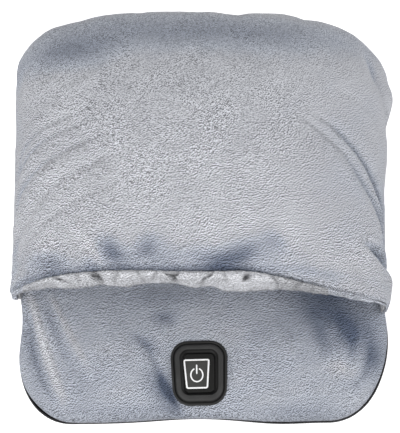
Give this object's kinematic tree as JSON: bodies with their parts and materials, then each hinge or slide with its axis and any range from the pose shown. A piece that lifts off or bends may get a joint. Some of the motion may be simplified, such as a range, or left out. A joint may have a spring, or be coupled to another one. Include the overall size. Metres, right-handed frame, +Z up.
{
  "type": "electric foot warmer",
  "caption": "Electric foot warmer: a padded plush sole with a stuffed hood over the toes, a fluffy cuff round the mouth and a push-button controller in the apron.",
  "frame": {"origin": "on the floor, under the middle of the whole object's footprint", "axes": "+Z up, +Y towards the toes, +X to the wearer's right"},
  "size_m": [0.2874, 0.3219, 0.1151],
  "materials": {
    "under_cloth": "matt woven",
    "plush": "short blue-grey pile",
    "lining": "fluffy pale grey pile",
    "fill": "white batting",
    "foam": "closed foam",
    "foil": "bright",
    "felt": "felt",
    "heating_wire": "silicone sleeve",
    "lead": "satin",
    "bezel": "soft matt",
    "button": "matt",
    "case": "moulded",
    "board": "solder mask",
    "chip": "matt",
    "led": "clear",
    "connector": "satin",
    "steel": "plated",
    "brass": "plain"
  },
  "bodies": {
    "warmer": {"base_cloth": "under_cloth", "sole_foam": "foam", "reflective_foil": "foil", "heater_felt": "felt", "heating_wire": "heating_wire", "sole_batting": "fill", "sole_plush": "plush", "hood_lining": "lining", "hood_batting": "fill", "hood_plush": "plush", "cuff": "lining", "controller_bezel": "bezel", "controller_housing": "case", "controller_back_cover": "case", "housing_screw_1": "steel", "housing_screw_2": "steel", "housing_screw_3": "steel", "housing_screw_4": "steel", "circuit_board": "board", "switch_body": "case", "controller_chip": "chip", "indicator_led_1": "led", "indicator_led_2": "led", "board_connector": "connector", "heater_lead": "lead", "return_lead": "lead", "lead_splice": "brass", "thermal_cutout": "steel", "sensor_lead": "lead", "temperature_sensor": "chip", "power_lead": "lead", "inlet_socket": "case", "inlet_pin": "brass", "inlet_surround": "bezel"},
    "button": {"power_button": "button"},
    "plunger": {"switch_plunger": "button"}
  },
  "joints": [
    {"name": "button_press", "type": "slide", "parent": "warmer", "child": "button", "axis": [0, 0, -1], "range_m": [0, 0.0005], "stiffness_N_per_m": 1500},
    {"name": "plunger_press", "type": "slide", "parent": "warmer", "child": "plunger", "axis": [0, 0, -1], "range_m": [0, 0.0005]}
  ],
  "couplings": [
    {"joint": "plunger_press", "follows": "button_press", "ratio": 1}
  ]
}
